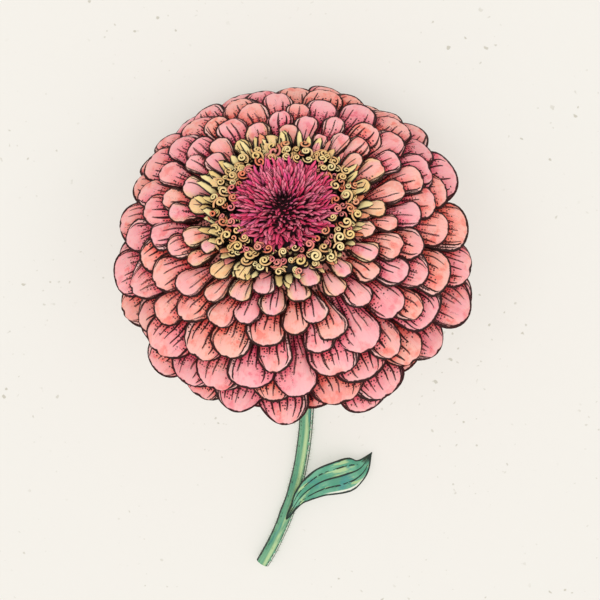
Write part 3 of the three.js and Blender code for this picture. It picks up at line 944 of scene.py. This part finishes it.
def stem_material():
    p = Paint("stem", Specular_IOR_Level=0.4)
    angle, reach, hair = p.read("place")
    c, s = p.math("COSINE", angle), p.math("SINE", angle)
    around = lambda turn, along: p.vector(p.mul(c, turn), p.mul(s, turn), p.mul(reach, along))
    wash = p.noise(around(2.0, 0.16), 0.55, 3.0)
    colour = p.blend(p.ease(wash, 0.35, 0.65), rgb("#559a78"), rgb("#7cb48c"))
    # Painted highlight: yellow-green along the top of the stem.
    top_highlight = p.mul(p.ease(p.size_of(p.add(angle, 0.15)), 0.42, 0.1), p.ease(wash, 0.3, 0.5))
    colour = p.tint(colour, top_highlight, 0.8, "#c5dda0")
    cool = p.ease(p.noise(around(1.2, 0.12), 1.0, 2.0), 0.54, 0.7)
    colour = p.tint(colour, cool, 0.6, "#3c8a86")
    ragged = p.noise(around(1.5, 0.8), 1.0, 2.0)
    # Painted highlight: near-white, broken, along one upper flank of the stem.
    white_highlight = p.mul(p.ease(p.size_of(p.add(angle, 0.86)), 0.2, 0.13), p.ease(ragged, 0.38, 0.46))
    colour = p.tint(colour, white_highlight, 0.85, "#eef2df")
    flank = p.size_of(p.sub(p.size_of(angle), 1.28))
    line = p.ease(flank, p.add(p.mul(ragged, 0.42), 0.12), p.add(p.mul(ragged, 0.42), 0.02))
    dash = p.mul(p.ease(p.size_of(p.add(angle, 0.68)), 0.1, 0.06), p.ease(ragged, 0.44, 0.48))
    fleck = p.mul(p.ease(p.size_of(p.sub(angle, 0.75)), 0.07, 0.04), p.ease(ragged, 0.56, 0.6))
    marks = p.largest(line, dash, fleck)
    colour = p.tint(colour, marks, 0.95, "#0c1511")
    colour = p.tint(colour, p.ease(hair, 0.0, 1.0), 0.6, "#d7e5c0")
    pith = p.blend(p.ease(reach, 0.7, 0.3), rgb("#b9cf93"), rgb("#e9edcf"))
    colour = p.blend(p.ease(hair, 1.4, 1.7), colour, pith)
    return p.finish(colour, 0.5, p.math("SINE", p.mul(angle, 14.0)), 0.00012, 0.6)


def build_stem():
    sheet = Sheet("place")
    sides, steps = STALK_GRID
    node_reach, node_length = STALK_NODE
    rings, places = [], []
    angles = (np.arange(sides) / sides * 2 - 1) * math.pi
    for step in range(steps + 1):
        reach = STEM_REACH * step / steps
        centre, forward_at_end, side, up = stem_frame(reach)
        ribs = 1 - 0.035 * (0.5 + 0.5 * np.cos(angles * 10)) + 0.012 * np.sin(reach * 0.5 + angles * 2)
        node = 0.1 * math.exp(-(((reach - node_reach) / node_length) ** 2))
        radius = stem_radius(reach) * (ribs + node * (0.5 + 0.5 * np.sin(angles)))
        ring = centre + radius[:, None] * (np.cos(angles)[:, None] * up + np.sin(angles)[:, None] * side)
        ring[:, 2] = np.maximum(ring[:, 2], 0)
        rings.append(ring)
        places.append(np.stack([angles, np.full(sides, reach), np.zeros(sides)], 1))
    end = centre
    for share, depth in ((0.84, -0.05), (0.8, 0.25), (0.45, 0.35), (0.02, 0.2)):
        rings.append(end + (rings[steps] - end) * share - forward_at_end * depth)
        places.append(np.stack([angles, np.full(sides, share), np.full(sides, 2.0)], 1))
    sheet.add(np.concatenate(rings), tube_faces(len(rings), sides), place=np.concatenate(places))
    for i in range(HAIR_COUNT):
        reach = pick(1, STEM_REACH - 1, i, 61)
        angle = pick(-2.6, 2.6, i, 62)
        centre, forward, side, up = stem_frame(reach)
        outward = math.cos(angle) * up + math.sin(angle) * side
        around = np.cross(forward, outward)
        root = centre + outward * stem_radius(reach) * 0.93
        length = pick(0.5, 1.05, i, 63)
        lean = unit(outward - forward * pick(0.1, 0.6, i, 64))
        points = [root + 0.07 * (math.cos(a) * around + math.sin(a) * forward) for a in (0, 2.1, 4.2)]
        points.append(root + lean * (length + 0.2))
        points = np.array(points)
        points[:, 2] = np.maximum(points[:, 2], 0.02)
        sheet.add(points, [(0, 1, 3), (1, 2, 3), (2, 0, 3), (2, 1, 0)], place=(angle, reach, 1))
    return sheet.mesh("stalk", stem_material(), "stem")


def smooth_curve(points, t):
    """A centripetal Catmull-Rom curve through the points, at share t."""
    last = len(points) - 1
    place = last * t
    k = min(int(place), last - 1)
    weight = place - k
    p1, p2 = points[k], points[k + 1]
    p0 = points[k - 1] if k else 2 * points[0] - points[1]
    p3 = points[k + 2] if k + 2 <= last else 2 * points[last] - points[last - 1]
    d0, d1, d2 = (np.linalg.norm(b - a) ** 0.5 for a, b in ((p0, p1), (p1, p2), (p2, p3)))
    t1 = ((p1 - p0) / d0 - (p2 - p0) / (d0 + d1) + (p2 - p1) / d1) * d1
    t2 = ((p2 - p1) / d1 - (p3 - p1) / (d1 + d2) + (p3 - p2) / d2) * d1
    w, w2, w3 = weight, weight**2, weight**3
    return p1 + t1 * w + (-3 * p1 + 3 * p2 - 2 * t1 - t2) * w2 + (2 * p1 - 2 * p2 + t1 + t2) * w3


def leaf_material():
    p = Paint("leaf", Specular_IOR_Level=0.4, Subsurface_Weight=0.05, Subsurface_Scale=0.001)
    across, along, edge = p.read("place")
    x, y, _ = p.read("span")
    where = p.vector(x, y, 3.0)
    wash = p.noise(where, 0.2, 3.0)
    colour = p.blend(p.ease(wash, 0.35, 0.65), rgb("#4f9a7c"), rgb("#72b593"))
    patch = p.noise(p.vector(p.mul(x, 0.7), p.mul(y, 0.16), 8.0), 1.0, 2.0)
    colour = p.tint(colour, p.ease(patch, 0.54, 0.64), 0.75, "#c2dc9c")
    cool = p.ease(p.noise(p.vector(x, y, 30.0), 0.22, 2.0), 0.55, 0.7)
    colour = p.tint(colour, cool, 0.7, "#3d8f8d")
    ragged = p.noise(p.vector(p.mul(x, 0.9), p.mul(y, 0.55), 14.0), 1.0, 2.0)
    lane = p.size_of(p.sub(p.math("FRACT", p.add(p.mul(across, 2.0), 0.5)), 0.5))
    near = p.mul(lane, p.largest(p.ease(along, 0.0, 0.35), 0.25))
    # Painted highlight: a near-white sliver near one margin, past the middle of the leaf.
    leaf_highlight = p.ease(p.size_of(p.sub(across, 0.86)), 0.1, 0.05)
    leaf_highlight = p.mul(leaf_highlight, p.ease(p.size_of(p.sub(along, 0.66)), 0.2, 0.1))
    colour = p.tint(colour, leaf_highlight, 0.9, "#f3f5e6")
    vein = p.mul(p.ease(near, 0.12, 0.07), p.ease(ragged, 0.42, 0.47))
    middle = p.ease(p.size_of(across), 0.075, 0.035)
    border = p.ease(p.add(edge, p.mul(p.sub(ragged, 0.5), 0.6)), 0.72, 0.5)
    tip = p.ease(p.add(along, p.mul(p.sub(ragged, 0.5), 0.12)), 0.87, 0.94)
    base = p.mul(p.ease(p.add(along, p.mul(p.sub(ragged, 0.5), 0.3)), 0.2, 0.08), 0.75)
    ink = p.largest(vein, middle, border, tip, base)
    colour = p.tint(colour, ink, 0.95, "#0c1511")
    height = p.sub(p.mul(wash, 0.6), vein)
    return p.finish(colour, p.add(0.42, p.mul(wash, 0.2)), height, 0.0002, 0.7)


def build_leaf():
    sheet = Sheet("place", "span")
    rows, columns = LEAF_GRID
    points = [np.array([x, STEM_TOP[1] - reach, z]) for reach, x, z in LEAF_MIDRIB]
    shares = np.linspace(0, 1, rows)
    u = np.linspace(-1, 1, columns)
    grids = {1: [], -1: []}
    place, span = [], []
    widths = np.interp(shares, LEAF_ALONG, LEAF_OUTLINE)
    widths = np.convolve(np.pad(widths, 2, mode="edge"), np.ones(5) / 5, "valid")
    widths = np.minimum(widths, np.clip((1 - shares) / 0.3, 0.02, 1))
    widths = np.minimum(widths, 0.03 + 2 * shares)
    for v, share in zip(shares, widths):
        centre = smooth_curve(points, v)
        forward = unit(smooth_curve(points, min(v + 0.01, 1)) - smooth_curve(points, max(v - 0.01, 0)))
        side = unit(np.cross(forward, UP))
        up = np.cross(side, forward)
        half = share * LEAF_HALF_WIDTH
        lift = 0.2 * half * np.abs(u) ** 1.4 - 0.18 * np.cos(u * 4 * math.pi) * share
        lift = lift + 0.5 * share * np.sin(v * 17 + u * 1.5) * u**2
        thin = LEAF_THICKNESS / 2 * (1 - 0.6 * np.abs(u) ** 4) * (1 - 0.5 * v**6)
        for face in (1, -1):
            grids[face].append(centre + (u * half)[:, None] * side + (lift + face * thin)[:, None] * up)
        edge = np.minimum((1 - np.abs(u)) * half, (1 - v) * LEAF_SPAN + 0.1)
        place.append(np.stack([u, np.full(columns, v), edge], 1))
        span.append(np.stack([u * half, np.full(columns, v * LEAF_SPAN), np.ones(columns)], 1))
    points = np.concatenate(grids[1] + grids[-1])
    faces = [face[::-1] for face in blade_faces(rows, columns)]
    sheet.add(points, faces, place=np.concatenate(place * 2), span=np.concatenate(span * 2))
    return sheet.mesh("leaf_blade", leaf_material(), "leaf")


# ---- camera, floor and light

CAMERA_ELEVATION = 75 * DEGREE
LENS = 120
SENSOR = 36
PICTURE = 600  # pixels on each side
PIXEL = 0.302  # mm that one pixel spans at the distance of the bloom
BLOOM_PIXEL = (292, 252)
FLOOR_HALF = 3.0  # in metres
FLOOR_GAP = 0.0002  # in metres, so that the pressed petals don't flicker in it
WORLD_COLOUR = (1.0, 0.995, 0.985, 1)
WORLD_STRENGTH = 0.74
LIGHTS = [  # name, place in metres, size and power
    ("key", (-0.3, 0.15, 1.2), 0.6, 3.5),
    ("fill", (0.4, 0.0, 1.2), 0.8, 3.0),
]
LIGHTS_AIM = (0, 0.02, 0.03)


def make_camera():
    back = Vector((0, math.cos(CAMERA_ELEVATION), math.sin(CAMERA_ELEVATION)))
    up = Vector((0, math.sin(CAMERA_ELEVATION), -math.cos(CAMERA_ELEVATION)))
    right = Vector((1, 0, 0))
    across, down = (place - PICTURE / 2 for place in BLOOM_PIXEL)
    target = BLOOM_CENTRE - right * across * PIXEL + up * down * PIXEL
    place = target + back * (PICTURE * PIXEL * LENS / SENSOR)
    data = bpy.data.cameras.new("camera")
    data.lens, data.sensor_width, data.clip_end = LENS, SENSOR, 20
    camera = placed("camera", data)
    turn = Matrix((right, up, back)).transposed().to_4x4()
    camera.matrix_world = Matrix.Translation(place * MM) @ turn
    bpy.context.scene.camera = camera


def make_floor():
    p = Paint("floor", Specular_IOR_Level=0.1, Emission_Color=rgb("#fffbf2"), Emission_Strength=0.5)
    where = p.node("ShaderNodeTexCoord", {}).outputs["Object"]
    fibre = p.noise(where, 260.0, 4.0)
    colour = p.blend(p.mul(fibre, 0.25), rgb("#a8a6a2"), rgb("#a29f9b"))
    patches = p.ease(p.noise(where, 25.0, 2.0), 0.46, 0.6)
    fleck = p.mul(p.ease(p.noise(where, 420.0, 1.0), 0.69, 0.76), patches)
    colour = p.tint(colour, fleck, 0.9, "#605a3e")
    material = p.finish(colour, 0.9)
    data = bpy.data.meshes.new("floor")
    r = FLOOR_HALF
    data.from_pydata([(-r, -r, 0), (r, -r, 0), (r, r, 0), (-r, r, 0)], [], [(0, 1, 2, 3)])
    data.materials.append(material)
    floor = placed("floor", data)
    floor.location.z = -FLOOR_GAP


def make_light():
    world = bpy.data.worlds.new("studio")
    world.use_nodes = True
    world.node_tree.nodes["Background"].inputs[0].default_value = WORLD_COLOUR
    world.node_tree.nodes["Background"].inputs[1].default_value = WORLD_STRENGTH
    bpy.context.scene.world = world
    for name, place, size, power in LIGHTS:
        data = bpy.data.lights.new(name, "AREA")
        data.size, data.energy = size, power
        lamp = placed(name, data)
        lamp.location = place
        towards = Vector(LIGHTS_AIM) - Vector(place)
        lamp.rotation_euler = towards.to_track_quat("-Z", "Y").to_euler()
    bpy.context.scene.view_settings.view_transform = "Standard"


make_camera()
build_petals()
build_disc()
build_ring()
build_involucre()
build_stem()
build_leaf()
make_floor()
make_light()
